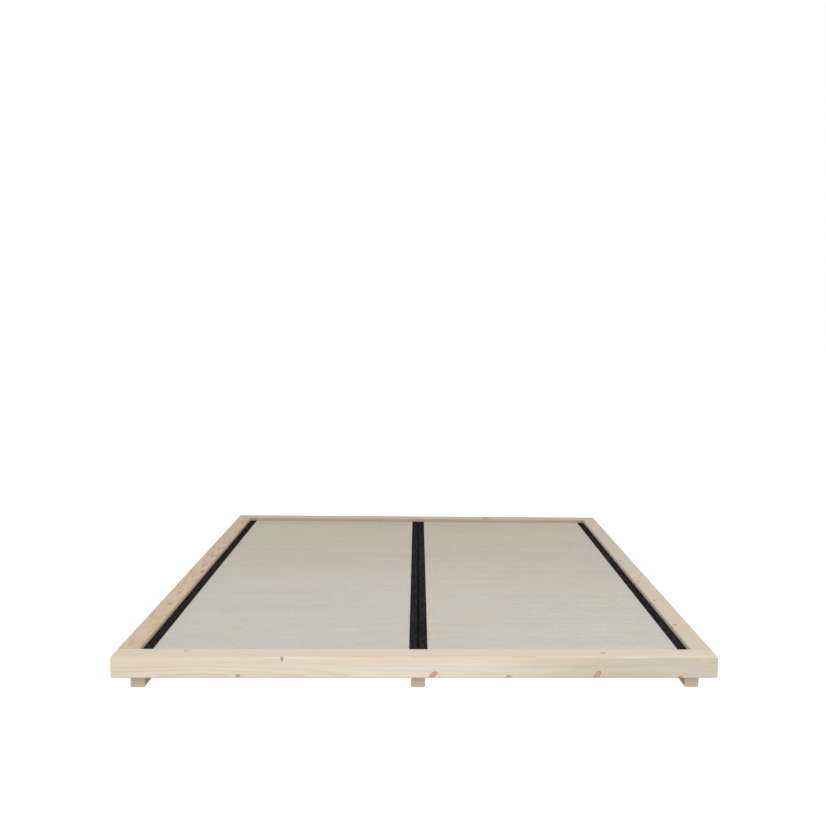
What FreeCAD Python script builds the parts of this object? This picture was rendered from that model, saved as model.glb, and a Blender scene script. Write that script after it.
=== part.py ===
# A low platform bed: four pine rails butted into a rectangle, three bearers that it stands on,
# a row of slats across the bearers, and two loose tatami mats that lie on the slats.
# Millimetres. X runs across the bed, Y from the foot (front) to the head (back), Z up.
# The origin is the middle of the footprint, on the floor.
import FreeCAD, Part
import math
import os
import re

import Sketcher
from FreeCAD import Placement, Rotation, Vector

# ---------------------------------------------------------------- driving dimensions
DIMENSIONS = {
    # rails
    "overall_width": 1950,
    "overall_length": 2150,
    "rail_width": 70,
    "rail_height": 72,
    "outer_round": 7,
    "inner_round": 2,
    "side_inner_round": 6,
    # bearers
    "bearer_width": 46,
    "bearer_height": 45,
    "bearer_round": 5,
    "bearer_setback": 40,
    "bearer_lap": 18,
    # slats
    "slat_width": 70,
    "slat_thickness": 18,
    "slat_round": 2.5,
    "slat_side_gap": 2,
    "slat_row_margin": 25,
    # tatami mats
    "mat_thickness": 40,
    "mat_side_gap": 4.5,
    "mat_seam_gap": 1,
    "mat_end_gap": 5,
    "border_width": 30,
    "border_thickness": 1,
    "cover_thickness": 2,
    "backing_thickness": 1,
    # dowels in the corner joints
    "dowel_diameter": 10,
    "dowel_length": 60,
    "dowel_spacing": 32,
    "dowel_end_play": 1,
    # steel plates under the corner joints
    "plate_length": 120,
    "plate_width": 30,
    "plate_thickness": 2.5,
    "plate_inset": 14,
    "plate_round": 6,
    "plate_hole_pitch": 26,
    # screws
    "hole_play": 0.2,
    "small_screw_diameter": 4,
    "small_head_diameter": 8,
    "slat_screw_length": 32,
    "plate_screw_length": 25,
    "large_screw_diameter": 5,
    "large_head_diameter": 10,
    "large_head_height": 3,
    "large_screw_length": 70,
    "counterbore_diameter": 12,
    "counterbore_depth": 14,
    "side_screw_margin": 150,
    "socket_width": 3,
    "socket_depth": 1.5,
}
SLAT_COUNT = 14
SIDE_SCREW_COUNT = 5
SIDES = {"left": -1, "right": 1}
ENDS = {"front": -1, "back": 1}

# Lengths that several pieces share, written in the names above.
OPENING_WIDTH = "(overall_width - 2 * rail_width)"
OPENING_LENGTH = "(overall_length - 2 * rail_width)"
BEARER_LENGTH = "(overall_length - 2 * bearer_setback)"
BEARER_AXIS = f"({OPENING_WIDTH} / 2 + bearer_lap - bearer_width / 2)"
LEDGE_WIDTH = "(bearer_width - bearer_lap)"
END_SCREW_Y = "((overall_length - rail_width - bearer_setback) / 2)"
SIDE_SCREW_X = f"({OPENING_WIDTH} / 2 + bearer_lap / 2)"
SIDE_SCREW_PITCH = f"(({OPENING_LENGTH} - 2 * side_screw_margin) / {SIDE_SCREW_COUNT - 1})"
SLAT_LENGTH = f"({OPENING_WIDTH} - 2 * slat_side_gap)"
SLAT_SCREW_X = f"({OPENING_WIDTH} / 2 - {LEDGE_WIDTH} / 2)"
SLAT_PITCH = f"(({OPENING_LENGTH} - 2 * slat_row_margin - slat_width) / {SLAT_COUNT - 1})"
SLAT_TOP = "(bearer_height + slat_thickness)"
MAT_WIDTH = f"(({OPENING_WIDTH} - 2 * mat_side_gap - mat_seam_gap) / 2)"
MAT_LENGTH = f"({OPENING_LENGTH} - 2 * mat_end_gap)"
COVER_TOP = "(mat_thickness - border_thickness)"
CORE_TOP = f"({COVER_TOP} - cover_thickness)"
CORE_WIDTH = f"({MAT_WIDTH} - 2 * border_thickness)"
CORE_LENGTH = f"({MAT_LENGTH} - 2 * cover_thickness)"
PLATE_AXIS = "(overall_width / 2 - plate_inset - plate_width / 2)"
DOWEL_DEPTH = "(dowel_length / 2 + dowel_end_play)"
LARGE_PILOT = "(large_screw_length - bearer_height + counterbore_depth + hole_play)"
SLAT_PILOT = "(slat_screw_length - slat_thickness + hole_play)"
PLATE_PILOT = "(plate_screw_length - plate_thickness + hole_play)"
SMALL_HOLE = "(small_screw_diameter + 2 * hole_play)"
SMALL_SINK = "(small_head_diameter + 2 * hole_play)"
LARGE_HOLE = "(large_screw_diameter + 2 * hole_play)"
DOWEL_HOLE = "(dowel_diameter + 2 * hole_play)"

# Rows of positions: across or along the bed, measured from its middle.
END_SCREW_XS = [f"-{BEARER_AXIS}", "0", BEARER_AXIS]
SIDE_SCREW_YS = [
    f"({i - (SIDE_SCREW_COUNT - 1) / 2} * {SIDE_SCREW_PITCH})" for i in range(SIDE_SCREW_COUNT)
]
SLAT_SCREW_XS = [f"-{SLAT_SCREW_X}", "0", SLAT_SCREW_X]
SLAT_YS = [f"({i - (SLAT_COUNT - 1) / 2} * {SLAT_PITCH})" for i in range(SLAT_COUNT)]
PLATE_HOLES = [f"({k} * plate_hole_pitch)" for k in (-1.5, -0.5, 0.5, 1.5)]
DOWEL_OFFSETS = ["(rail_width / 2 - dowel_spacing / 2)", "(rail_width / 2 + dowel_spacing / 2)"]

POINT_UP = Rotation(Vector(1, 0, 0), 180)
QUARTER_LEFT = Rotation(Vector(0, 0, 1), 90)
QUARTER_RIGHT = Rotation(Vector(0, 0, 1), -90)
HALF_TURN = Rotation(Vector(0, 0, 1), 180)
FACE_DOWN = Rotation(Vector(1, 1, 0), 180)
NO_TURN = Rotation()

doc = FreeCAD.newDocument("TatamiBed")
sheet = doc.addObject("Spreadsheet::Sheet", "Dims")
for row, (alias, number) in enumerate(DIMENSIONS.items(), start=1):
    sheet.set(f"A{row}", alias)
    sheet.set(f"B{row}", str(number))
    sheet.setAlias(f"B{row}", alias)
doc.recompute()

ALIAS = re.compile(r"\b(" + "|".join(DIMENSIONS) + r")\b")
subparts = []


# ---------------------------------------------------------------- small helpers
def in_sheet(formula):
    return ALIAS.sub(r"Dims.\1", formula)


def bind(target, prop, formula):
    """Ties a property to a formula written in the names of the dimensions."""
    target.setExpression(prop, in_sheet(formula))


def amount(formula):
    """The number that a formula gives with the dimensions as they stand."""
    return float(sheet.evalExpression(in_sheet(formula)))


def require(condition, message):
    if not condition:
        raise RuntimeError(message)


def place(target, x, y, z, turn=NO_TURN):
    target.Placement = Placement(Vector(), turn)
    for axis, formula in zip("xyz", (x, y, z)):
        bind(target, f"Placement.Base.{axis}", formula)


def new_body(name):
    body = doc.addObject("PartDesign::Body", name)
    body.Label = name
    subparts.append(body)
    return body


def new_sketch(body, name, plane, offset="0"):
    """A sketch parallel to one of the body's own origin planes."""
    sketch = body.newObject("Sketcher::SketchObject", name)
    support = next(f for f in body.Origin.OriginFeatures if f.Role == plane)
    sketch.AttachmentSupport = [(support, "")]
    sketch.MapMode = "FlatFace"
    bind(sketch, "AttachmentOffset.Base.z", offset)
    return sketch


def pin_point(sketch, geometry, point, formulas):
    """Holds a point of a sketch at its distances from the sketch's origin."""
    for kind, formula in zip(("DistanceX", "DistanceY"), formulas):
        constraint = Sketcher.Constraint(kind, geometry, point, amount(formula))
        bind(sketch, f"Constraints[{sketch.addConstraint(constraint)}]", formula)


def draw_outline(sketch, corners):
    """A closed outline with straight sides; each corner is a pair of formulas."""
    points = [Vector(amount(u), amount(v), 0) for u, v in corners]
    count = len(corners)
    for i in range(count):
        sketch.addGeometry(Part.LineSegment(points[i], points[(i + 1) % count]), False)
    for i in range(count):
        sketch.addConstraint(Sketcher.Constraint("Coincident", i, 2, (i + 1) % count, 1))
    for i, corner in enumerate(corners):
        pin_point(sketch, i, 1, corner)


def draw_circles(sketch, centres, diameter):
    for i, (u, v) in enumerate(centres):
        middle = Vector(amount(u), amount(v), 0)
        sketch.addGeometry(Part.Circle(middle, Vector(0, 0, 1), amount(diameter) / 2), False)
        pin_point(sketch, i, 3, (u, v))
        constraint = Sketcher.Constraint("Diameter", i, amount(diameter))
        bind(sketch, f"Constraints[{sketch.addConstraint(constraint)}]", diameter)


def pad(body, name, plane, corners, length, offset="0", other_way=False):
    """Draws an outline and pads it; other_way pads against the sketch's own normal."""
    sketch = new_sketch(body, f"{name}_outline", plane, offset)
    draw_outline(sketch, corners)
    feature = body.newObject("PartDesign::Pad", name)
    feature.Profile = sketch
    bind(feature, "Length", length)
    feature.Reversed = other_way
    doc.recompute()
    return feature


def rectangle(u0, v0, u1, v1):
    return [(u0, v0), (u1, v0), (u1, v1), (u0, v1)]


def drill(body, name, plane, centres, diameter, depth, offset="0", along_normal=True):
    """Blind round holes, all of one size, from a plane into the solid."""
    before = body.Shape.Volume
    sketch = new_sketch(body, f"{name}_centres", plane, offset)
    draw_circles(sketch, centres, diameter)
    feature = body.newObject("PartDesign::Pocket", name)
    feature.Profile = sketch
    bind(feature, "Length", depth)
    feature.Reversed = along_normal
    doc.recompute()
    removed = before - body.Shape.Volume
    expected = len(centres) * math.pi / 4 * amount(diameter) ** 2 * amount(depth)
    require(abs(removed - expected) < 0.01 * expected, f"{body.Label}: {name} cuts {removed:.0f}")


def drill_countersunk(body, name, centres):
    """Through holes for the small screws, countersunk from the plane z = 0 downwards."""
    before = body.Shape.Volume
    sketch = new_sketch(body, f"{name}_centres", "XY_Plane")
    draw_circles(sketch, centres, SMALL_HOLE)
    doc.recompute()
    feature = body.newObject("PartDesign::Hole", name)
    feature.Profile = sketch
    doc.recompute()
    feature.DepthType = "ThroughAll"
    feature.HoleCutType = "Countersink"
    feature.HoleCutCustomValues = True
    feature.HoleCutCountersinkAngle = 90
    bind(feature, "Diameter", SMALL_HOLE)
    bind(feature, "HoleCutDiameter", SMALL_SINK)
    doc.recompute()
    require(before - body.Shape.Volume > 1, f"{body.Label}: {name} cuts nothing")


def round_edges(body, name, radius, chosen):
    """Rounds the edges for which chosen(edge) holds."""
    tip = body.Tip
    names = [f"Edge{i}" for i, edge in enumerate(tip.Shape.Edges, start=1) if chosen(edge)]
    require(names, f"{body.Label}: {name} finds no edge")
    feature = body.newObject("PartDesign::Fillet", name)
    feature.Base = (tip, names)
    bind(feature, "Radius", radius)
    doc.recompute()


def runs_along(edge, axis):
    """Whether a straight edge is parallel to X (0), Y (1) or Z (2)."""
    span = edge.lastVertex().Point - edge.firstVertex().Point
    return span.Length > 0 and abs(abs(span[axis]) - span.Length) < 1e-6


def lies_at(edge, axis, number):
    return all(abs(vertex.Point[axis] - number) < 1e-6 for vertex in edge.Vertexes)


def group(name, members):
    """Identical small pieces that share one node as separate solids."""
    compound = doc.addObject("Part::Compound", name)
    compound.Label = name
    compound.Links = members
    subparts.append(compound)


# ---------------------------------------------------------------- rails
# A rail lies along its own X, with its outer face at y = 0 and its underside at z = 0.
def rail_block(name, length):
    body = new_body(name)
    profile = rectangle("0", "0", "rail_width", "rail_height")
    pad(body, "block", "YZ_Plane", profile, length)
    return body



def make_end_rail(name, x, y, turn):
    """The front or back rail, as wide as the bed, with rounded ends."""
    body = rail_block(name, "overall_width")
    round_edges(
        body,
        "outer_edges",
        "outer_round",
        lambda edge: lies_at(edge, 1, 0) or runs_along(edge, 1),
    )
    width = amount("rail_width")
    round_edges(
        body,
        "inner_edges",
        "inner_round",
        lambda edge: runs_along(edge, 0) and lies_at(edge, 1, width),
    )

    dowels = [(x0, "rail_height / 2") for x0 in DOWEL_OFFSETS]
    dowels += [(f"overall_width - {x0}", "rail_height / 2") for x0 in DOWEL_OFFSETS]
    drill(body, "dowel_holes", "XZ_Plane", dowels, DOWEL_HOLE, DOWEL_DEPTH, "-rail_width")

    lap_middle = "(rail_width + bearer_setback) / 2"
    bearer_holes = [(f"overall_width / 2 + {x0}", lap_middle) for x0 in END_SCREW_XS]
    drill(body, "bearer_screw_pilots", "XY_Plane", bearer_holes, LARGE_HOLE, LARGE_PILOT)

    plate_holes = [
        (f"overall_width / 2 + {side} * {PLATE_AXIS}", f"rail_width + {offset}")
        for side in SIDES.values()
        for offset in PLATE_HOLES[:2]
    ]
    drill(body, "plate_screw_pilots", "XY_Plane", plate_holes, SMALL_HOLE, PLATE_PILOT)
    place(body, x, y, "bearer_height", turn)


def make_side_rail(name, x, y, turn):
    """A side rail, butted between the front and back rails."""
    body = rail_block(name, OPENING_LENGTH)
    round_edges(
        body,
        "outer_edges",
        "outer_round",
        lambda edge: runs_along(edge, 0) and lies_at(edge, 1, 0),
    )
    width = amount("rail_width")
    for name, radius, height in (
        ("inner_lower_edge", "inner_round", 0),
        ("inner_upper_edge", "side_inner_round", amount("rail_height")),
    ):
        round_edges(
            body,
            name,
            radius,
            lambda edge: lies_at(edge, 1, width) and lies_at(edge, 2, height),
        )

    dowels = [(y0, "rail_height / 2") for y0 in DOWEL_OFFSETS]
    drill(body, "near_dowel_holes", "YZ_Plane", dowels, DOWEL_HOLE, DOWEL_DEPTH)
    drill(body, "far_dowel_holes", "YZ_Plane", dowels, DOWEL_HOLE, DOWEL_DEPTH, OPENING_LENGTH, False)

    bearer_holes = [
        (f"{OPENING_LENGTH} / 2 + {y0}", "rail_width - bearer_lap / 2") for y0 in SIDE_SCREW_YS
    ]
    drill(body, "bearer_screw_pilots", "XY_Plane", bearer_holes, LARGE_HOLE, LARGE_PILOT)

    plate_holes = [
        (start + offset, "plate_inset + plate_width / 2")
        for start, offsets in (("0 + ", PLATE_HOLES[2:]), (f"{OPENING_LENGTH} + ", PLATE_HOLES[:2]))
        for offset in offsets
    ]
    drill(body, "plate_screw_pilots", "XY_Plane", plate_holes, SMALL_HOLE, PLATE_PILOT)
    place(body, x, y, "bearer_height", turn)


# ---------------------------------------------------------------- bearers
def make_bearer(name, side):
    """A batten on the floor, along the bed; side is -1, 0 or 1."""
    body = new_body(name)
    profile = rectangle("0", "0", "bearer_width", "bearer_height")
    pad(body, "batten", "YZ_Plane", profile, BEARER_LENGTH)
    round_edges(body, "long_edges", "bearer_round", lambda edge: runs_along(edge, 0))

    middle = "bearer_width / 2"
    screws = [(f"{BEARER_LENGTH} / 2 + {end} * {END_SCREW_Y}", middle) for end in ENDS.values()]
    if side:
        lap_middle = f"bearer_width / 2 - {side} * {LEDGE_WIDTH} / 2"
        screws += [(f"{BEARER_LENGTH} / 2 + {y0}", lap_middle) for y0 in SIDE_SCREW_YS]
    drill(body, "screw_holes", "XY_Plane", screws, LARGE_HOLE, "bearer_height")
    deepen(body, screws)

    ledge_middle = f"bearer_width / 2 + {side} * bearer_lap / 2"
    slat_holes = [(f"{BEARER_LENGTH} / 2 + {y0}", ledge_middle) for y0 in SLAT_YS]
    drill(
        body,
        "slat_screw_pilots",
        "XY_Plane",
        slat_holes,
        SMALL_HOLE,
        SLAT_PILOT,
        "bearer_height",
        False,
    )
    x = f"{side} * {BEARER_AXIS} + bearer_width / 2"
    place(body, x, f"-{BEARER_LENGTH} / 2", "0", QUARTER_LEFT)


def deepen(body, screws):
    """Counterbores on the underside, so that the screw heads stay clear of the floor."""
    before = body.Shape.Volume
    sketch = new_sketch(body, "counterbore_centres", "XY_Plane")
    draw_circles(sketch, screws, "counterbore_diameter")
    feature = body.newObject("PartDesign::Pocket", "counterbores")
    feature.Profile = sketch
    bind(feature, "Length", "counterbore_depth")
    feature.Reversed = True
    doc.recompute()
    require(before - body.Shape.Volume > 1, f"{body.Label}: no counterbore")


# ---------------------------------------------------------------- slats
def make_slat(number):
    """A slat along its own X, with its upper face at z = 0."""
    body = new_body(f"slat_{number + 1:02d}")
    profile = rectangle("0", "-slat_thickness", "slat_width", "0")
    pad(body, "board", "YZ_Plane", profile, SLAT_LENGTH)
    round_edges(body, "long_edges", "slat_round", lambda edge: runs_along(edge, 0))
    centres = [(f"{SLAT_LENGTH} / 2 + {x0}", "slat_width / 2") for x0 in SLAT_SCREW_XS]
    drill_countersunk(body, "screw_holes", centres)
    place(body, f"-{SLAT_LENGTH} / 2", f"{SLAT_YS[number]} - slat_width / 2", SLAT_TOP)


# ---------------------------------------------------------------- corner joints
def make_corner_plate(end_name, side_name):
    """A flat steel plate across the joint, its countersunk face down."""
    body = new_body(f"{end_name}_{side_name}_corner_plate")
    profile = rectangle("0", "-plate_thickness", "plate_width", "0")
    pad(body, "strip", "YZ_Plane", profile, "plate_length")
    round_edges(body, "corners", "plate_round", lambda edge: runs_along(edge, 2))
    centres = [(f"plate_length / 2 + {offset}", "plate_width / 2") for offset in PLATE_HOLES]
    drill_countersunk(body, "screw_holes", centres)
    x = f"{SIDES[side_name]} * {PLATE_AXIS} - plate_width / 2"
    y = f"{ENDS[end_name]} * {OPENING_LENGTH} / 2 - plate_length / 2"
    place(body, x, y, "bearer_height - plate_thickness", FACE_DOWN)


def make_dowels():
    dowels = []
    for side in SIDES.values():
        for end in ENDS.values():
            for offset in DOWEL_OFFSETS:
                dowel = doc.addObject("Part::Cylinder", "dowel")
                bind(dowel, "Radius", "dowel_diameter / 2")
                bind(dowel, "Height", "dowel_length")
                x = f"{side} * (overall_width / 2 - {offset})"
                y = f"{end} * {OPENING_LENGTH} / 2 + dowel_length / 2"
                z = "bearer_height + rail_height / 2"
                place(dowel, x, y, z, Rotation(Vector(1, 0, 0), 90))
                dowels.append(dowel)
    group("corner_dowels", dowels)


# ---------------------------------------------------------------- screws
# A screw points down its own -Z, with the seat of its head at z = 0.
def spin(profile):
    points = [Vector(r, 0, z) for r, z in profile + profile[:1]]
    return Part.Face(Part.makePolygon(points)).revolve(Vector(), Vector(0, 0, 1), 360)


def hex_socket(top):
    """The hexagonal key socket that is cut into a head from its upper face."""
    corner = amount("socket_width") / math.sqrt(3)
    turns = [math.radians(60 * k) for k in range(7)]
    points = [Vector(corner * math.cos(a), corner * math.sin(a), top) for a in turns]
    face = Part.Face(Part.makePolygon(points))
    return face.extrude(Vector(0, 0, -amount("socket_depth")))


def countersunk_screw(length):
    head = amount("small_head_diameter") / 2
    shank = amount("small_screw_diameter") / 2
    tip = amount(length)
    profile = [(0, 0), (head, 0), (shank, shank - head), (shank, 2 * shank - tip), (0, -tip)]
    return spin(profile).cut(hex_socket(0))


def cylinder_head_screw():
    head = amount("large_head_diameter") / 2
    height = amount("large_head_height")
    shank = amount("large_screw_diameter") / 2
    tip = amount("large_screw_length")
    profile = [(0, height), (head, height), (head, 0), (shank, 0), (shank, 2 * shank - tip), (0, -tip)]
    return spin(profile).cut(hex_socket(height))


def make_screws(name, shape, places, turn=NO_TURN):
    """One screw at each place; a place is three formulas."""
    screws = []
    for x, y, z in places:
        screw = doc.addObject("Part::Feature", "screw")
        screw.Shape = shape
        place(screw, x, y, z, turn)
        screws.append(screw)
    group(name, screws)


def make_all_screws():
    slat_places = [(x, y, SLAT_TOP) for y in SLAT_YS for x in SLAT_SCREW_XS]
    make_screws("slat_screws", countersunk_screw("slat_screw_length"), slat_places)

    bearer_places = [
        (x, f"{end} * {END_SCREW_Y}", "counterbore_depth")
        for end in ENDS.values()
        for x in END_SCREW_XS
    ]
    bearer_places += [
        (f"{side} * {SIDE_SCREW_X}", y, "counterbore_depth")
        for side in SIDES.values()
        for y in SIDE_SCREW_YS
    ]
    make_screws("bearer_screws", cylinder_head_screw(), bearer_places, POINT_UP)

    plate_places = [
        (
            f"{side} * {PLATE_AXIS}",
            f"{end} * {OPENING_LENGTH} / 2 + {offset}",
            "bearer_height - plate_thickness",
        )
        for side in SIDES.values()
        for end in ENDS.values()
        for offset in PLATE_HOLES
    ]
    make_screws("plate_screws", countersunk_screw("plate_screw_length"), plate_places, POINT_UP)


# ---------------------------------------------------------------- tatami mats
# A mat's own corner is at its lower left front; every layer is drawn from there.
def make_mat(side_name):
    if side_name == "left":
        x = f"-{OPENING_WIDTH} / 2 + mat_side_gap"
    else:
        x = "mat_seam_gap / 2"

    def settle(body):
        place(body, x, f"-{MAT_LENGTH} / 2", SLAT_TOP)

    footprint = rectangle(
        "border_thickness",
        "cover_thickness",
        f"border_thickness + {CORE_WIDTH}",
        f"cover_thickness + {CORE_LENGTH}",
    )
    backing = new_body(f"{side_name}_mat_backing")
    pad(backing, "sheet", "XY_Plane", footprint, "backing_thickness")
    settle(backing)

    core = new_body(f"{side_name}_mat_core")
    pad(core, "board", "XY_Plane", footprint, f"{CORE_TOP} - backing_thickness", "backing_thickness")
    settle(core)

    cover = new_body(f"{side_name}_mat_cover")
    far = f"cover_thickness + {CORE_LENGTH}"
    wrap = [
        ("0", "0"),
        ("cover_thickness", "0"),
        ("cover_thickness", CORE_TOP),
        (far, CORE_TOP),
        (far, "0"),
        (MAT_LENGTH, "0"),
        (MAT_LENGTH, COVER_TOP),
        ("0", COVER_TOP),
    ]
    pad(cover, "weave", "YZ_Plane", wrap, CORE_WIDTH, "border_thickness")
    settle(cover)

    for edge_name, edge_side in SIDES.items():
        which = "outer" if edge_name == side_name else "inner"
        border = new_body(f"{side_name}_mat_{which}_border")
        start = "0" if edge_side < 0 else MAT_WIDTH
        inward = -edge_side
        strip = [
            (start, "0"),
            (f"{start} + {inward} * border_thickness", "0"),
            (f"{start} + {inward} * border_thickness", COVER_TOP),
            (f"{start} + {inward} * border_width", COVER_TOP),
            (f"{start} + {inward} * border_width", "mat_thickness"),
            (start, "mat_thickness"),
        ]
        pad(border, "folded_strip", "XZ_Plane", strip, MAT_LENGTH, other_way=True)
        settle(border)


# ---------------------------------------------------------------- the whole bed
make_end_rail("front_rail", "-overall_width / 2", "-overall_length / 2", NO_TURN)
make_end_rail("back_rail", "overall_width / 2", "overall_length / 2", HALF_TURN)
make_side_rail("left_side_rail", "-overall_width / 2", f"{OPENING_LENGTH} / 2", QUARTER_RIGHT)
make_side_rail("right_side_rail", "overall_width / 2", f"-{OPENING_LENGTH} / 2", QUARTER_LEFT)
for bearer_name, bearer_side in (("left", -1), ("centre", 0), ("right", 1)):
    make_bearer(f"{bearer_name}_bearer", bearer_side)
for slat_number in range(SLAT_COUNT):
    make_slat(slat_number)
for plate_end in ENDS:
    for plate_side in SIDES:
        make_corner_plate(plate_end, plate_side)
make_dowels()
make_all_screws()
for mat_side in SIDES:
    make_mat(mat_side)
doc.recompute()

for item in doc.Objects:
    faults = {"Invalid", "Error"} & set(item.State)
    require(not faults, f"{item.Label} ended as {faults}")
for subpart in subparts:
    require(not subpart.Shape.isNull(), f"{subpart.Label} has no shape")
    require(subpart.Shape.isValid(), f"{subpart.Label} has an invalid shape")

os.makedirs("parts", exist_ok=True)
for subpart in subparts:
    subpart.Shape.exportStep(f"parts/{subpart.Label}.step")
print(len(subparts), "sub-parts written")
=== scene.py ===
"""The looks of a low platform bed with two rush mats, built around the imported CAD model."""

import math

import bmesh
import bpy
from mathutils import Matrix, Vector, noise


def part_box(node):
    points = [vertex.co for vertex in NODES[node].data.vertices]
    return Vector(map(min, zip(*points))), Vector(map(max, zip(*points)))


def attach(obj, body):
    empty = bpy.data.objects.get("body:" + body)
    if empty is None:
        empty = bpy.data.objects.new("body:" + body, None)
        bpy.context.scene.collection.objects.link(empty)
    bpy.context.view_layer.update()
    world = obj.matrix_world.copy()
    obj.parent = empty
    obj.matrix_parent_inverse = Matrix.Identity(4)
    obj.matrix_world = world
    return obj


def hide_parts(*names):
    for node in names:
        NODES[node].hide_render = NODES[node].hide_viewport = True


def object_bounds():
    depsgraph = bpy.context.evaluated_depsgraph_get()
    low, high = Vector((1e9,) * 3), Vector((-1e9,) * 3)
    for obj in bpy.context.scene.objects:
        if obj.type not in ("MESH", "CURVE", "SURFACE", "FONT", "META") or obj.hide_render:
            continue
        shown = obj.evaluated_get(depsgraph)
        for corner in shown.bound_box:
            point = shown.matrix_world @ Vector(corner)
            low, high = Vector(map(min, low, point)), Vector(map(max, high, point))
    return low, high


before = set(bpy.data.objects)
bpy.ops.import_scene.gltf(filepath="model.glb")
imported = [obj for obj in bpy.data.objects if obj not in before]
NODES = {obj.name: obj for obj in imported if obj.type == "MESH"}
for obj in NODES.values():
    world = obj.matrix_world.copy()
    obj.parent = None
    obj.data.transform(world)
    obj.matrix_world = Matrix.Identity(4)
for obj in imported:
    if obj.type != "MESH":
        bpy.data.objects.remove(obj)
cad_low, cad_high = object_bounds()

MM = 0.001


# ---------------------------------------------------------------- camera

CAMERA_OUT = 2.856  # in front of the front rail's face
CAMERA_UP = 1.066  # above the rails' top
CAMERA_SIDE = -0.0143  # metres, like the two above; the three below are in radians
CAMERA_DOWN_TILT = 0.0979
CAMERA_TURN = 0.0407  # to the right
CAMERA_ROLL = 0.01565
SENSOR_MM = 36.0
LENS_MM = 40.11
LENS_SHIFT = -0.0497
CLIP_START = 0.05
CLIP_END = 60


def make_camera():
    data = bpy.data.cameras.new("photo_camera")
    data.sensor_width = SENSOR_MM
    data.lens = LENS_MM
    data.shift_x = LENS_SHIFT
    data.clip_start = CLIP_START
    data.clip_end = CLIP_END
    camera = bpy.data.objects.new("photo_camera", data)
    bpy.context.scene.collection.objects.link(camera)
    turn = Matrix.Rotation(-CAMERA_TURN, 4, "Z")
    tilt = Matrix.Rotation(math.pi / 2 - CAMERA_DOWN_TILT, 4, "X")
    roll = Matrix.Rotation(CAMERA_ROLL, 4, "Z")
    place = Vector((CAMERA_SIDE, cad_low.y - CAMERA_OUT, cad_high.z + CAMERA_UP))
    camera.matrix_world = Matrix.Translation(place) @ turn @ tilt @ roll
    bpy.context.scene.camera = camera


# ---------------------------------------------------------------- materials


class Graph:
    """A material's node tree, with a short method for each kind of node it uses."""

    def __init__(self, name):
        self.material = bpy.data.materials.new(name)
        self.material.use_nodes = True
        self.tree = self.material.node_tree
        self.tree.nodes.clear()
        self.output = self.tree.nodes.new("ShaderNodeOutputMaterial")
        self.shader = self.tree.nodes.new("ShaderNodeBsdfPrincipled")
        self.tree.links.new(self.shader.outputs[0], self.output.inputs["Surface"])
        self.coordinates = self.tree.nodes.new("ShaderNodeTexCoord")
        self.place = self.coordinates.outputs["Object"]

    def give(self, socket, value):
        if isinstance(value, bpy.types.NodeSocket):
            self.tree.links.new(value, socket)
        elif isinstance(value, (tuple, list, Vector)) and socket.type == "RGBA":
            socket.default_value = (*value[:3], 1.0)
        else:
            socket.default_value = value

    def node(self, kind, values, settings=None, output=0):
        made = self.tree.nodes.new("ShaderNode" + kind)
        for key, value in (settings or {}).items():
            setattr(made, key, value)
        for key, value in values.items():
            self.give(made.inputs[key], value)
        return made.outputs[output]

    def math(self, operation, a, b=0.0, c=0.0, clamp=False):
        settings = {"operation": operation, "use_clamp": clamp}
        return self.node("Math", {0: a, 1: b, 2: c}, settings)

    def vector(self, operation, a, b=(0, 0, 0), scale=1.0):
        output = 1 if operation in ("LENGTH", "DOT_PRODUCT", "DISTANCE") else 0
        values = {0: a, "Scale": scale} if operation == "SCALE" else {0: a, 1: b}
        return self.node("VectorMath", values, {"operation": operation}, output)

    def split(self, vector):
        made = self.tree.nodes.new("ShaderNodeSeparateXYZ")
        self.give(made.inputs[0], vector)
        return made.outputs

    def join(self, x, y, z=0.0):
        return self.node("CombineXYZ", {0: x, 1: y, 2: z})

    def noise(self, vector, scale=1.0, detail=2.0, roughness=0.5, output=0):
        values = {"Vector": vector, "Scale": scale, "Detail": detail, "Roughness": roughness}
        return self.node("TexNoise", values, output=output)

    def dice(self, x, y=0.0, z=0.0):
        """A random number from 0 to 1 for each whole number, or trio of them."""
        return self.node("TexWhiteNoise", {"Vector": self.join(x, y, z)}, {"noise_dimensions": "3D"})

    def spread(self, value, low, high, to_low=0.0, to_high=1.0):
        """A smooth step from to_low to to_high, while value runs from low to high."""
        values = {0: value, 1: low, 2: high, 3: to_low, 4: to_high}
        return self.node("MapRange", values, {"interpolation_type": "SMOOTHSTEP"})

    def mix(self, factor, a, b, blend="MIX"):
        settings = {"data_type": "RGBA", "blend_type": blend}
        return self.node("Mix", {0: factor, 6: a, 7: b}, settings, 2)

    def bump(self, height, distance, strength=1.0):
        return self.node("Bump", {"Height": height, "Distance": distance, "Strength": strength})

    def finish(self, colour, roughness, normal=None, **sockets):
        self.give(self.shader.inputs["Base Color"], colour)
        self.give(self.shader.inputs["Roughness"], roughness)
        if normal is not None:
            self.give(self.shader.inputs["Normal"], normal)
        for name, value in sockets.items():
            self.give(self.shader.inputs[name.replace("_", " ")], value)
        return self.material


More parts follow.
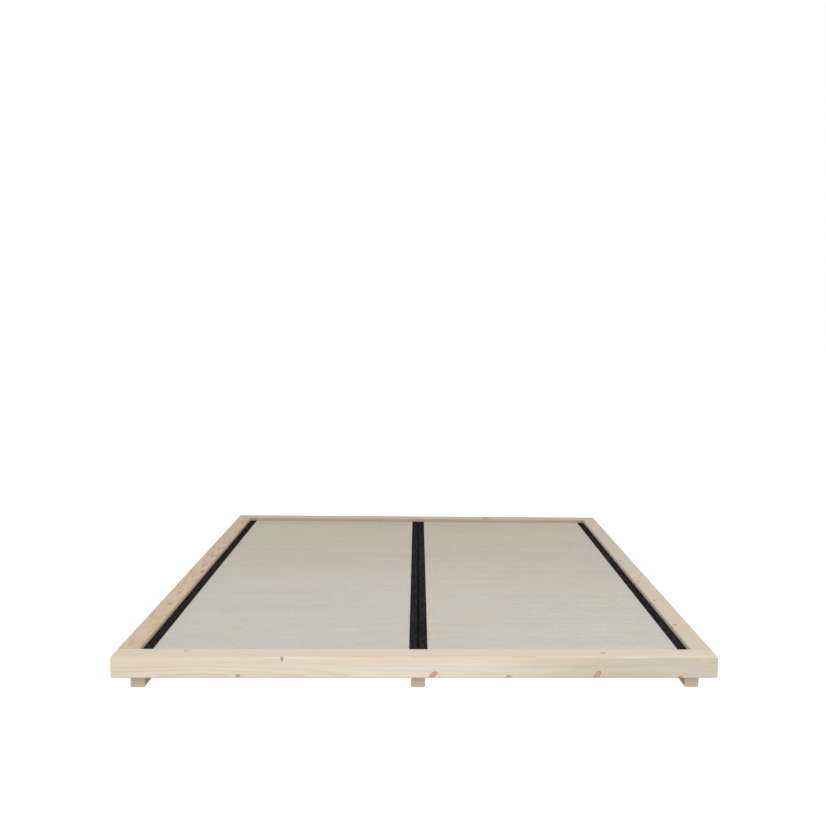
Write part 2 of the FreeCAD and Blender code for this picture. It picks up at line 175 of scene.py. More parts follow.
def spot_group():
    """How far a place is from a short line, in radii: the shape of a knot."""
    tree = bpy.data.node_groups.new("spot_distance", "ShaderNodeTree")
    for name in ("Place", "Centre", "Run", "Reach"):
        tree.interface.new_socket(name, in_out="INPUT", socket_type="NodeSocketVector")
    tree.interface.new_socket("Radius", in_out="INPUT", socket_type="NodeSocketFloat")
    tree.interface.new_socket("Radii", in_out="OUTPUT", socket_type="NodeSocketFloat")
    given = tree.nodes.new("NodeGroupInput").outputs
    result = tree.nodes.new("NodeGroupOutput").inputs

    def vector(operation, *inputs):
        made = tree.nodes.new("ShaderNodeVectorMath")
        made.operation = operation
        for socket, value in zip(made.inputs, inputs):
            tree.links.new(value, socket)
        return made

    away = vector("SUBTRACT", given["Place"], given["Centre"]).outputs[0]
    share = vector("DOT_PRODUCT", away, given["Reach"]).outputs[1]
    held = tree.nodes.new("ShaderNodeClamp")
    held.inputs[1].default_value = -1
    tree.links.new(share, held.inputs[0])
    along = vector("SCALE", given["Run"])
    tree.links.new(held.outputs[0], along.inputs["Scale"])
    off = vector("SUBTRACT", away, along.outputs[0]).outputs[0]
    length = vector("LENGTH", off).outputs[1]
    ratio = tree.nodes.new("ShaderNodeMath")
    ratio.operation = "DIVIDE"
    tree.links.new(length, ratio.inputs[0])
    tree.links.new(given["Radius"], ratio.inputs[1])
    tree.links.new(ratio.outputs[0], result["Radii"])
    return tree


SPOT = spot_group()
OVAL = 0.62  # knots and stains are drawn out along the grain by one over this
FAR = 50.0  # radii, where a board has no knot


def nearest_spot(g, place, spots, squeeze):
    """The least distance to any of the spots, in radii. A spot is (centre, run, radius) in mm."""
    nearest = None
    for centre, run, radius in spots:
        run = Vector(run) * MM * squeeze
        made = g.tree.nodes.new("ShaderNodeGroup")
        made.node_tree = SPOT
        g.give(made.inputs["Place"], place)
        made.inputs["Centre"].default_value = Vector(centre) * MM * squeeze
        made.inputs["Run"].default_value = run
        made.inputs["Reach"].default_value = run / max(run.length_squared, 1e-8)
        made.inputs["Radius"].default_value = radius * MM
        distance = made.outputs[0]
        nearest = distance if nearest is None else g.math("MINIMUM", nearest, distance)
    return nearest


EARLYWOOD = (0.58, 0.53, 0.458)
LATEWOOD = (0.47, 0.385, 0.285)
KNOT_RED = (0.26, 0.125, 0.062)
KNOT_DARK = (0.10, 0.05, 0.03)
RESIN = (0.55, 0.36, 0.19)
# full swings, from one extreme to the other
PITH_WANDER = 22 * MM  # of the pith from side to side, and the rings with it
RING_RIPPLE = 3.5 * MM
SPOT_RAGGED = 4 * MM  # of a knot's or a stain's outline
RING_PUSH = 8.5 * MM  # how far the middle of a knot pushes the rings out
# how often noise changes per metre, along the grain and across it
WANDER_SCALE = (1.3, 5, 5)
RIPPLE_SCALE = (3.5, 34, 34)
FINE_SCALE = (14, 900, 900)
BROAD_SCALE = (2.2, 70, 70)
DUCT_SCALE = (45, 1500, 1500)
DRIFT_SCALE = (1.7, 9, 9)
# tones that the wood's colour is multiplied by, or turned to
FINE_TONE = (0.56, 0.45, 0.34)
BROAD_TONE = (0.92, 0.84, 0.72)
DUCT_TONE = (0.42, 0.27, 0.16)
PINK_DRIFT = (1.0, 0.955, 0.90)
YELLOW_DRIFT = (1.0, 0.975, 0.89)
# painted highlight on the rounded arrises
PAINTED_ARRIS_HIGHLIGHT = (1.06, 1.035, 0.985)
# painted shade on faces that look down
PAINTED_UNDERSIDE_SHADE = (0.78, 0.74, 0.70)
END_TONES = ((0.98, 0.95, 0.93), (0.72, 0.62, 0.54))
BOARD_RUN = (-0.9, 0.95)  # metres along a board, over which it reaches its far tone
KNOT_RINGS = 19.0  # how closely a knot's own rings lie, in radians per knot radius


def pine(name, node, along, pith, knots=(), stains=(), seed=0, tint=(1, 1, 1), contrast=1.0,
         ring=3.6, lean=(6, 5), knot_depth=1.0, painted_front_shade=None, painted_side_shade=None, far_tone=None):
    """Planed, untreated pine, cut from a log whose pith runs beside the board.

    pith is where the pith passes the board's middle, in mm off its centre across the grain, and
    lean how far it drifts per metre. ring is a year ring's width in mm, contrast how strongly
    the rings show, and tint the tone of the whole board. Knots and stains are in mm from the
    board's centre, and knot_depth is how dark the knots are. painted_front_shade is (start, stop,
    tone): painted shade on the board's front side, which darkens to that tone between those two
    places along it, in metres. painted_side_shade is the tone of painted shade on the sides that
    face left and right, and far_tone the tone that the whole board reaches at its far end.
    """
    g = Graph(name)
    low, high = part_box(node)
    centre = (low + high) / 2
    here = g.vector("SUBTRACT", g.place, centre)
    axes = g.split(here)
    u, v, w = (axes[0], axes[1], axes[2]) if along == "x" else (axes[1], axes[0], axes[2])
    shifted = g.vector("ADD", g.join(u, v, w), (seed * 3.17, seed * 1.31, seed * 0.73))

    # long, slow wander of the pith, and of the rings about it
    slow = g.vector("MULTIPLY", shifted, WANDER_SCALE)
    wander = g.split(g.vector("SUBTRACT", g.noise(slow, 1, 1, 0.4, output=1), (0.5, 0.5, 0.5)))
    stretched = g.vector("MULTIPLY", shifted, RIPPLE_SCALE)
    ripple = g.math("SUBTRACT", g.noise(stretched, 1, 2, 0.5), 0.5)

    squeeze = Vector((OVAL, 1, 1)) if along == "x" else Vector((1, OVAL, 1))
    rough_edge = g.noise(g.vector("SCALE", here, scale=90), 1, 2, 0.5, output=1)
    jitter = g.vector("SUBTRACT", rough_edge, (0.5, 0.5, 0.5))
    jitter = g.vector("SCALE", jitter, scale=SPOT_RAGGED)
    spot_place = g.vector("MULTIPLY", g.vector("ADD", here, jitter), squeeze)
    knot = nearest_spot(g, spot_place, knots, squeeze) if knots else FAR
    stain = nearest_spot(g, spot_place, stains, squeeze) if stains else FAR

    # distance from the pith, with the rings pushed out round every knot
    pith_v = g.math("MULTIPLY_ADD", u, lean[0] * MM, pith[0] * MM)
    pith_w = g.math("MULTIPLY_ADD", u, lean[1] * MM, pith[1] * MM)
    off_v = g.math("MULTIPLY_ADD", wander[1], PITH_WANDER, g.math("SUBTRACT", v, pith_v))
    off_w = g.math("MULTIPLY_ADD", wander[2], PITH_WANDER, g.math("SUBTRACT", w, pith_w))
    from_pith = g.vector("LENGTH", g.join(off_v, off_w))
    nearest = g.math("MINIMUM", knot, g.math("MULTIPLY", stain, 1.4))
    swirl = g.math("POWER", g.spread(nearest, 0.0, 5.0, 1.0, 0.0), 1.6)
    pushed = g.math("MULTIPLY_ADD", swirl, RING_PUSH, from_pith)
    pushed = g.math("MULTIPLY_ADD", ripple, RING_RIPPLE, pushed)
    years = g.math("DIVIDE", pushed, ring * MM)
    year = g.math("FLOOR", years)
    part = g.math("SUBTRACT", years, year)
    rise = g.math("POWER", part, 2.2)
    fall = g.spread(part, 0.9, 1.0, 1.0, 0.0)
    strength = g.math("MULTIPLY_ADD", g.dice(year, seed), 0.75, 0.25)
    late = g.math("MULTIPLY", g.math("MULTIPLY", rise, fall), strength)

    # fibres: fine, long streaks, and short dark resin ducts
    fine = g.noise(g.vector("MULTIPLY", shifted, FINE_SCALE), 1, 3, 0.6)
    broad = g.noise(g.vector("MULTIPLY", shifted, BROAD_SCALE), 1, 3, 0.55)
    ducts = g.noise(g.vector("MULTIPLY", shifted, DUCT_SCALE), 1, 1, 0.5)
    ducts = g.math("MULTIPLY", g.spread(ducts, 0.70, 0.78), g.spread(broad, 0.4, 0.6))

    amount = g.math("MULTIPLY", late, 0.62 * contrast, clamp=True)
    colour = g.mix(amount, tuple(a * b for a, b in zip(EARLYWOOD, tint)),
                   tuple(a * b for a, b in zip(LATEWOOD, tint)))
    fine_share = g.math("MULTIPLY", g.spread(fine, 0.3, 0.75), 0.16)
    colour = g.mix(fine_share, colour, FINE_TONE, "MULTIPLY")
    broad_share = g.math("MULTIPLY", g.spread(broad, 0.35, 0.75), 0.28 * min(contrast, 1.4))
    colour = g.mix(broad_share, colour, BROAD_TONE, "MULTIPLY")
    colour = g.mix(g.math("MULTIPLY", ducts, 0.3), colour, DUCT_TONE)

    # slow drift between cream, yellow and pink along the board
    drift = g.split(g.noise(g.vector("MULTIPLY", shifted, DRIFT_SCALE), 1, 2, 0.5, output=1))
    colour = g.mix(g.spread(drift[0], 0.42, 0.68, 0, 0.55), colour, PINK_DRIFT, "MULTIPLY")
    colour = g.mix(g.spread(drift[1], 0.45, 0.7, 0, 0.6), colour, YELLOW_DRIFT, "MULTIPLY")

    # tones of single sides: a painted highlight on the front and back arrises, painted shade on the
    # underside and on the flanks
    normal = g.split(g.coordinates.outputs["Normal"])
    if far_tone:
        colour = g.mix(g.spread(u, *BOARD_RUN), colour, far_tone, "MULTIPLY")
    # painted highlight along the rounded arrises between the top and the front or back side
    arris_highlight = g.math("MULTIPLY", g.spread(g.math("ABSOLUTE", normal[1]), 0.2, 0.5),
                   g.spread(normal[2], 0.2, 0.5))
    colour = g.mix(arris_highlight, colour, PAINTED_ARRIS_HIGHLIGHT, "MULTIPLY")
    # painted shade on the faces that look down
    underside_shade = g.spread(normal[2], -0.75, -0.15, 1.0, 0.0)
    colour = g.mix(underside_shade, colour, PAINTED_UNDERSIDE_SHADE, "MULTIPLY")
    if painted_side_shade:
        # painted shade on the sides that face left and right
        flank_shade = g.spread(g.math("ABSOLUTE", normal[0]), 0.6, 0.9)
        colour = g.mix(flank_shade, colour, painted_side_shade, "MULTIPLY")
    # painted shade: the board's front side darkens to a tone along part of its length
    if painted_front_shade:
        start, stop, front_shade_tone = painted_front_shade
        outer_side = g.spread(normal[1], -0.95, -0.55, 1.0, 0.0)
        share = g.math("MULTIPLY", g.spread(u, start, stop), outer_side)
        colour = g.mix(share, colour, front_shade_tone, "MULTIPLY")

    # knots: a dark rim round a red-brown heart with its own rings, in a warm halo
    halo = g.spread(knot, 0.7, 2.6, 1.0, 0.0)
    colour = g.mix(g.math("MULTIPLY", halo, 0.34), colour, RESIN)
    patchy = g.math("MULTIPLY_ADD", late, 1.1, g.spread(broad, 0.35, 0.65, 0.15, 0.6))
    soaked = g.math("MULTIPLY", g.spread(stain, 0.2, 2.3, 0.46, 0.0), patchy, clamp=True)
    colour = g.mix(soaked, colour, RESIN)
    heart = g.spread(knot, 0.85, 1.12, 1.0, 0.0)
    rim = g.math("MULTIPLY", g.spread(knot, 0.6, 0.95), g.spread(knot, 0.95, 1.3, 1.0, 0.0))
    rings = g.math("SINE", g.math("MULTIPLY", knot, KNOT_RINGS))
    red = g.mix(g.math("MULTIPLY_ADD", rings, 0.25, 0.3, clamp=True), KNOT_RED, RESIN)
    colour = g.mix(g.math("MULTIPLY", heart, 0.88 * knot_depth), colour, red)
    colour = g.mix(g.math("MULTIPLY", rim, 0.75 * knot_depth * knot_depth), colour, KNOT_DARK)

    # sawn ends drink light
    facing = normal[0 if along == "x" else 1]
    end = g.spread(g.math("ABSOLUTE", facing), 0.75, 0.97)
    pores = g.noise(g.vector("SCALE", here, scale=900), 1, 2, 0.6)
    end_tone = g.mix(g.spread(pores, 0.35, 0.7, 0.0, 0.35), *END_TONES)
    colour = g.mix(end, colour, end_tone, "MULTIPLY")

    height = g.math("MULTIPLY_ADD", fine, 0.5, g.math("MULTIPLY", late, 0.7))
    height = g.math("MULTIPLY_ADD", rim, -1.0, height)
    height = g.math("MULTIPLY_ADD", g.math("MULTIPLY", pores, end), 0.8, height)
    roughness = g.math("MULTIPLY_ADD", late, -0.12, g.spread(fine, 0.2, 0.8, 0.55, 0.68))
    return g.finish(colour, roughness, g.bump(height, 0.00012, 0.6),
                    Specular_IOR_Level=0.28)


def beech(name):
    """Turned beech with short dark flecks along the dowels."""
    g = Graph(name)
    long_way = g.vector("MULTIPLY", g.place, (500, 60, 500))
    fleck = g.spread(g.noise(long_way, 1, 2, 0.5), 0.6, 0.72)
    tone = g.noise(g.vector("MULTIPLY", g.place, (60, 12, 60)), 1, 3, 0.5)
    colour = g.mix(tone, (0.58, 0.42, 0.28), (0.48, 0.32, 0.2))
    colour = g.mix(g.math("MULTIPLY", fleck, 0.5), colour, (0.28, 0.16, 0.09))
    return g.finish(colour, g.spread(tone, 0.2, 0.8, 0.45, 0.6), g.bump(fleck, 0.0001, 0.5),
                    Specular_IOR_Level=0.35)


def zinc(name, tone, brushed):
    """Zinc plating: cloudy crystals, fine scratches and dulled spots."""
    g = Graph(name)
    cloud = g.noise(g.vector("SCALE", g.place, scale=130), 1, 3, 0.6)
    scratch_scale = (5000, 70, 5000) if brushed else (2200, 2200, 2200)
    scratch = g.noise(g.vector("MULTIPLY", g.place, scratch_scale), 1, 2, 0.6)
    dull = g.spread(g.noise(g.vector("SCALE", g.place, scale=38), 1, 2, 0.5), 0.5, 0.7)
    colour = g.mix(cloud, tone, tuple(0.72 * c for c in tone))
    roughness = g.math("ADD", g.spread(scratch, 0.3, 0.7, 0.26, 0.42), g.math("MULTIPLY", dull, 0.16))
    return g.finish(colour, roughness, g.bump(scratch, 0.00004, 0.5), Metallic=1.0)


RUSH_LIGHT = (0.478, 0.464, 0.417)
RUSH_DARK = (0.41, 0.395, 0.338)
STEM = 2.2 * MM  # width of a rush stem, along the mat
FLOAT = 26 * MM  # a rib repeats its weave after this
SUNNED = (-0.6, 0.9)  # metres along the mat, over which it turns browner
SUNNED_TONE = (0.943, 0.887, 0.832)
DASH_TONE = (0.60, 0.585, 0.51)  # a stem where it lies over the weave
PAINTED_DIP_SHADE = (0.25, 0.235, 0.19)  # painted shade between two ribs


def rush(name, first_rib, pitch):
    """Woven rush: stems lie across the mat and dip between its ribs."""
    g = Graph(name)
    x, y, z = g.split(g.place)
    rib_at = g.math("DIVIDE", g.math("SUBTRACT", x, first_rib), pitch)
    rib = g.math("FLOOR", rib_at)
    across = g.math("SUBTRACT", rib_at, rib)
    odd = g.math("FLOORED_MODULO", rib, 2.0)
    length = g.math("ADD", y, z)
    stem_at = g.math("MULTIPLY_ADD", odd, 0.5, g.math("DIVIDE", length, STEM))
    uneven = g.noise(g.vector("SCALE", g.place, scale=60))
    stem_at = g.math("MULTIPLY_ADD", uneven, 0.5, stem_at)
    stem = g.math("FLOOR", stem_at)
    round_stem = g.math("SINE", g.math("MULTIPLY", g.math("SUBTRACT", stem_at, stem), math.pi))
    over = g.math("SINE", g.math("MULTIPLY", across, math.pi))
    float_at = g.math("MULTIPLY_ADD", odd, 0.5, g.math("DIVIDE", length, FLOAT))
    in_float = g.math("FRACT", float_at)
    dash = g.math("MULTIPLY", g.spread(in_float, 0.0, 0.12), g.spread(in_float, 0.2, 0.34, 1.0, 0.0))
    dash = g.math("MULTIPLY", dash, g.spread(over, 0.25, 0.8))
    each_dash = g.dice(rib, g.math("FLOOR", float_at))
    dash = g.math("MULTIPLY", dash, g.math("MULTIPLY_ADD", each_dash, 0.8, 0.2))

    each_stem = g.dice(stem, g.math("FLOOR", g.math("DIVIDE", rib, 5.0)))
    run = g.noise(g.vector("MULTIPLY", g.place, (3.5, 420, 420)), 1, 2, 0.6)
    bands = g.noise(g.vector("MULTIPLY", g.place, (1.2, 26, 26)), 1, 3, 0.6)
    patch = g.split(g.noise(g.vector("SCALE", g.place, scale=4), 1, 3, 0.55, output=1))
    tone = g.math("MULTIPLY_ADD", each_stem, 0.35, g.math("MULTIPLY", run, 0.35))
    tone = g.math("MULTIPLY_ADD", bands, 0.5, tone)
    colour = g.mix(g.spread(tone, 0.3, 0.95), RUSH_LIGHT, RUSH_DARK)
    colour = g.mix(g.math("MULTIPLY", dash, 0.16), colour, DASH_TONE)
    # painted shade in the dips between the ribs
    dip_shade = g.spread(over, 0.0, 0.4, 1.0, 0.0)
    colour = g.mix(g.math("MULTIPLY", dip_shade, 0.12), colour, PAINTED_DIP_SHADE)
    colour = g.mix(g.spread(patch[0], 0.45, 0.7, 0, 0.5), colour, (1.0, 0.97, 0.94), "MULTIPLY")
    colour = g.mix(g.spread(patch[1], 0.45, 0.7, 0, 0.5), colour, (0.99, 1.0, 0.975), "MULTIPLY")
    colour = g.mix(g.spread(y, *SUNNED), colour, SUNNED_TONE, "MULTIPLY")
    height = g.math("MULTIPLY", round_stem, g.math("MULTIPLY_ADD", over, 0.6, 0.4))
    height = g.math("MULTIPLY_ADD", dash, 0.4, height)
    return g.finish(colour, g.spread(tone, 0.2, 0.9, 0.62, 0.75), g.bump(height, 0.00035, 0.7),
                    Specular_IOR_Level=0.15)


def cloth(name, light, dark, thread, fuzz, specular, creases, seam_shade_and_far_dark=0.0):
    """Plain-woven cloth: threads over and under, with slubs, creases and faint fading.

    thread is a thread's width in mm, fuzz the strength of its sheen, and creases how deep its
    creases are. seam_shade_and_far_dark is how much darker it is painted where two borders meet,
    as painted shadow in the seam, and towards the mats' far end.
    """
    g = Graph(name)
    x, y, z = g.split(g.place)
    warp = g.math("SINE", g.math("MULTIPLY", g.math("ADD", x, z), math.pi / (thread * MM)))
    weft = g.math("SINE", g.math("MULTIPLY", y, math.pi / (thread * MM)))
    weave = g.math("MULTIPLY_ADD", g.math("MULTIPLY", warp, weft), 0.5, 0.5)
    slub = g.noise(g.vector("MULTIPLY", g.place, (900, 22, 900)), 1, 2, 0.6)
    fade = g.noise(g.vector("SCALE", g.place, scale=11), 1, 3, 0.6)
    tone = g.math("MULTIPLY_ADD", weave, 0.4, g.math("MULTIPLY", slub, 0.45))
    tone = g.math("MULTIPLY_ADD", fade, 0.35, tone)
    crease = g.noise(g.vector("MULTIPLY", g.place, (130, 34, 130)), 1, 3, 0.6)
    tone = g.math("MULTIPLY_ADD", g.math("SUBTRACT", crease, 0.5), creases, tone)
    colour = g.mix(g.spread(tone, 0.25, 0.95), dark, light)
    if seam_shade_and_far_dark:
        # painted shadow along the seam where the two mats' borders meet; the cloth also darkens towards
        # the far end
        seam_shadow = g.spread(g.math("ABSOLUTE", x), 0.0015, 0.0075, 1.0, 0.0)
        far = g.spread(y, 0.2, 1.0, 0.0, 0.45)
        deep = g.math("MULTIPLY", g.math("MAXIMUM", seam_shadow, far), seam_shade_and_far_dark)
        colour = g.mix(deep, colour, tuple(0.4 * c for c in dark))
    height = g.math("MULTIPLY_ADD", weave, 0.7, g.math("MULTIPLY", slub, 0.5))
    height = g.math("MULTIPLY_ADD", crease, 2 * creases, height)
    return g.finish(colour, g.spread(tone, 0.2, 0.9, 0.95, 0.82), g.bump(height, 0.0002, 0.6),
                    Specular_IOR_Level=specular, Sheen_Weight=fuzz, Sheen_Roughness=0.5)


def straw(name):
    """Pressed rice straw: short stalks lying every way in flat layers."""
    g = Graph(name)
    twist = g.noise(g.vector("SCALE", g.place, scale=9), 1, 2, 0.5, output=1)
    turned = g.vector("ADD", g.place, g.vector("SCALE", twist, scale=0.08))
    one = g.noise(g.vector("MULTIPLY", turned, (25, 300, 500)), 1, 3, 0.6)
    other = g.noise(g.vector("MULTIPLY", turned, (300, 25, 500)), 1, 3, 0.6)
    stalk = g.math("MAXIMUM", one, other)
    colour = g.mix(g.spread(stalk, 0.4, 0.75), (0.33, 0.25, 0.13), (0.68, 0.57, 0.36))
    return g.finish(colour, g.spread(stalk, 0.3, 0.8, 0.8, 0.6), g.bump(stalk, 0.0012, 0.8),
                    Specular_IOR_Level=0.3)


# ---------------------------------------------------------------- the wooden frame

TOP = 36  # mm from a rail's middle up to its top
FACE = 35  # mm from a rail's middle out to its side
FRONT_TINT = (0.955, 0.955, 0.955)
# the bearers' wood tone, darkened further as painted shade for the feet under the bed
BEARER_TINT_AND_SHADE = (0.85, 0.785, 0.76)
# painted shade on the bearers' left and right sides, under the bed
BEARER_SIDE_SHADE = (0.52, 0.5, 0.43)
SLAT_TINT = (0.98, 0.94, 0.88)
SLAT_COUNT = 14
SLAT_TOP = 9  # mm from a slat's middle up to its top
PLATE_TONE = (0.7, 0.71, 0.73)
SCREW_TONE = (0.72, 0.68, 0.52)


def paint(node, material):
    for slot in NODES[node].material_slots:
        slot.material = material


def dress_rails():
    front = pine(
        "pine_front_rail", "front_rail", "x", pith=(58, -24), seed=1, contrast=1.25, tint=FRONT_TINT,
        # painted shade on the front face, darker towards the right end
        knot_depth=0.84, painted_front_shade=(0.1, 0.66, (0.785, 0.8, 0.8)),
        knots=[
            ((-748, 21, TOP), (3, 0, 10), 3.4),
            ((-434, -FACE, TOP - 2), (0, 3, 14), 2.6),
            ((-574, -FACE, -27), (0, 8, 0), 4.5),
            ((49, -FACE, -23), (5, 0, 6), 4.6),
            ((291, -FACE, -29), (0, 8, 0), 4.5),
            ((602, 0, TOP), (9, 3, 4), 3.4),
            ((579, -FACE, -23), (5, 0, 7), 4.8),
            ((851, -FACE, -31), (0, 8, 0), 5),
        ],
        stains=[
            ((40, -FACE + 12, TOP + 8), (330, 0, 0), 11),
            ((500, -FACE + 8, TOP + 5), (110, 0, 0), 8),
            ((330, -14, TOP), (0, 6, 3), 6),
            ((590, -FACE, 4), (7, 0, 24), 4.5),
            ((905, -FACE, 11), (22, 0, 12), 5),
        ],
    )
    paint("front_rail", front)
    left = pine(
        "pine_left_rail", "left_side_rail", "y", pith=(10, -34), seed=4, tint=(0.89, 0.79, 0.66),
        contrast=3.4, lean=(12, 30), ring=5.2, far_tone=(0.90, 0.925, 1.0),
        knots=[
            ((-27, -63, TOP), (0, 0, 9), 7),
            ((24, -78, TOP), (0, 0, 9), 7.5),
            ((10, -524, TOP), (0, 0, 9), 6.5),
        ],
        stains=[
            ((10, -301, TOP), (3, 12, 2), 12),
            ((-6, -561, TOP), (4, 16, 2), 12),
            ((2, -744, TOP), (6, 22, 2), 13),
        ],
    )
    paint("left_side_rail", left)
    right = pine(
        "pine_right_rail", "right_side_rail", "y", pith=(30, -40), seed=7, tint=(0.892, 0.862, 0.82),
        contrast=0.9, lean=(-7, 8), knot_depth=1.1, far_tone=(0.916, 0.913, 0.94),
        knots=[
            ((-28, 845, TOP - 6), (10, 3, 6), 3.8),
            ((-28, 139, TOP - 6), (10, 2, 6), 3.8),
            ((-28, -202, TOP - 6), (10, -2, 6), 3.8),
            ((-28, -466, TOP - 6), (10, 2, 6), 3.6),
            ((-28, -757, TOP - 5), (11, 3, 6), 3.4),
        ],
        stains=[
            ((-20, 400, TOP), (3, 14, 2), 7),
            ((12, -620, TOP), (3, 14, 2), 6),
        ],
    )
    paint("right_side_rail", right)
    back = pine(
        "pine_back_rail", "back_rail", "x", pith=(-46, -34), seed=11, tint=(0.79, 0.735, 0.70),
        contrast=0.9, lean=(-5, -7),
        knots=[
            ((374, -18, TOP), (10, 7, 6), 8),
            ((-240, FACE, 4), (0, 9, 0), 6),
            ((655, FACE, -14), (3, 9, 3), 5),
        ],
        stains=[((-632, -31, TOP), (70, 0, 0), 7), ((60, -FACE, TOP - 3), (800, 0, 0), 4)],
    )
    paint("back_rail", back)


def dress_frame():
    dress_rails()
    for name, pith, seed in (
        ("left_bearer", (18, 46), 15),
        ("centre_bearer", (-30, 38), 19),
        ("right_bearer", (-14, -44), 23),
    ):
        material = pine("pine_" + name, name, "y", pith=pith, seed=seed, tint=BEARER_TINT_AND_SHADE,
                        # painted shade on the bearers' sides
                        painted_side_shade=BEARER_SIDE_SHADE,
                        knots=[((8 - seed, 37 * seed - 640, 0), (14, 0, 8), 6)])
        paint(name, material)
    for number in range(1, SLAT_COUNT + 1):
        node = f"slat_{number:02d}"
        side = 1 if number % 2 else -1
        knots = [
            ((-830 + (number * 397) % 1500, side * 12, SLAT_TOP), (2, 3, 9), 4 + number % 3 * 2),
            ((-700 + (number * 691) % 1450, side * -22, SLAT_TOP), (3, -4, 9), 3 + number % 4),
        ]
        material = pine("pine_" + node, node, "x", pith=(side * (12 + number * 3), -30 - number % 5 * 8),
                        seed=30 + number, knots=knots, tint=SLAT_TINT, contrast=1.1)
        paint(node, material)
    paint("corner_dowels", beech("beech_dowel_wood"))
    plate = zinc("zinc_plate_metal", PLATE_TONE, brushed=True)
    for corner in ("front_left", "front_right", "back_left", "back_right"):
        paint(corner + "_corner_plate", plate)
    screw = zinc("zinc_screw_metal", SCREW_TONE, brushed=False)
    for group in ("slat_screws", "bearer_screws", "plate_screws"):
        paint(group, screw)


# ---------------------------------------------------------------- the mats

RIBS = 64
RIB_RISE = 0.6 * MM  # from the dip between two ribs up to a rib's crown
COVER_CROWN = 0.25 * MM  # how far the crowns stand above the CAD cover
COVER_THICK = 1.0 * MM
COVER_TUCK = 4.5 * MM  # on top, the rush stops this far inside the mat's sides, under the tape
COVER_CORNER = 4.0 * MM
COVER_HEM = 1.5 * MM  # from the CAD cover's lower edge up to the rush's
COVER_WAVE = 0.10 * MM  # unevenness of the cover as a whole
RIB_UNEVEN = 0.18  # unevenness of a rib, as a share of its rise
CORNER_STEPS = 6
SIDE_STEPS = 4
ROW = 13 * MM
# one rib's cross-section: (share of its width, share of its rise)
RIB_PROFILE = (
    (0.0, 0.0), (0.07, 0.42), (0.2, 0.8), (0.4, 0.98), (0.6, 0.98), (0.8, 0.8), (0.93, 0.42),
)
BORDER_THICK = 1.0 * MM
BORDER_ROWS = 400
BORDER_LIFT = 0.15 * MM  # the tape's top stands this far above the CAD tape
OUTER_FOLD = 3.0 * MM  # radius of the fold on the side of a rail
INNER_FOLD = 5.0 * MM  # radius of the fold where the two mats meet
OUTER_BULGE = 3.3 * MM  # how far the tape's side bellies out into the gap beside the rail
END_CUT = 5.0 * MM  # how far the tape's upper corners are rounded off at its ends
CUT_DEPTH = 2.5 * MM  # above the core's top, so that the cut never bares the core
BULGE_RUN = 60 * MM  # over this length, the bulge fades out to nothing at the tape's ends
END_DROP = 2.0 * MM  # how far the tape's top sinks at its ends
STITCH_PITCH = 48 * MM
STITCH_PULL = 0.10 * MM  # how deep a stitch pulls the tape in
BACKING_THICK = 0.5 * MM
BACKING_WAVE = 0.12 * MM
BACKING_COLUMNS = 44
BACKING_ROWS = 96


def new_piece(name, vertices, faces, material, body):
    mesh = bpy.data.meshes.new(name)
    mesh.from_pydata(vertices, [], faces)
    mesh.validate()
    built = bmesh.new()
    built.from_mesh(mesh)
    bmesh.ops.recalc_face_normals(built, faces=built.faces)
    built.to_mesh(mesh)
    built.free()
    mesh.materials.append(material)
    for polygon in mesh.polygons:
        polygon.use_smooth = True
    piece = bpy.data.objects.new(name, mesh)
    bpy.context.scene.collection.objects.link(piece)
    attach(piece, body)
    return piece


def wave(x, y, seed, size=0.25):
    """Smooth, seeded unevenness from -1 to 1, about size metres from crest to crest."""
    return noise.noise(Vector((x / size, y / size, seed * 7.3)))


def over_the_end(low_y, high_y, bottom, top, radius, step):
    """A path up one end of a mat, along its top and down the other, as (y, z, out_y, out_z)."""
    path = []
    for i in range(SIDE_STEPS):
        z = bottom + (top - radius - bottom) * i / SIDE_STEPS
        path.append((low_y, z, -1.0, 0.0))
    for i in range(CORNER_STEPS + 1):
        a = math.pi / 2 * i / CORNER_STEPS
        path.append((low_y + radius - radius * math.cos(a), top - radius + radius * math.sin(a),
                     -math.cos(a), math.sin(a)))
    start, stop = low_y + radius, high_y - radius
    rows = round((stop - start) / step)
    for i in range(1, rows):
        path.append((start + (stop - start) * i / rows, top, 0.0, 1.0))
    mirrored = [(low_y + high_y - y, z, -out_y, out_z)
                for y, z, out_y, out_z in reversed(path[: SIDE_STEPS + CORNER_STEPS + 1])]
    return path + mirrored


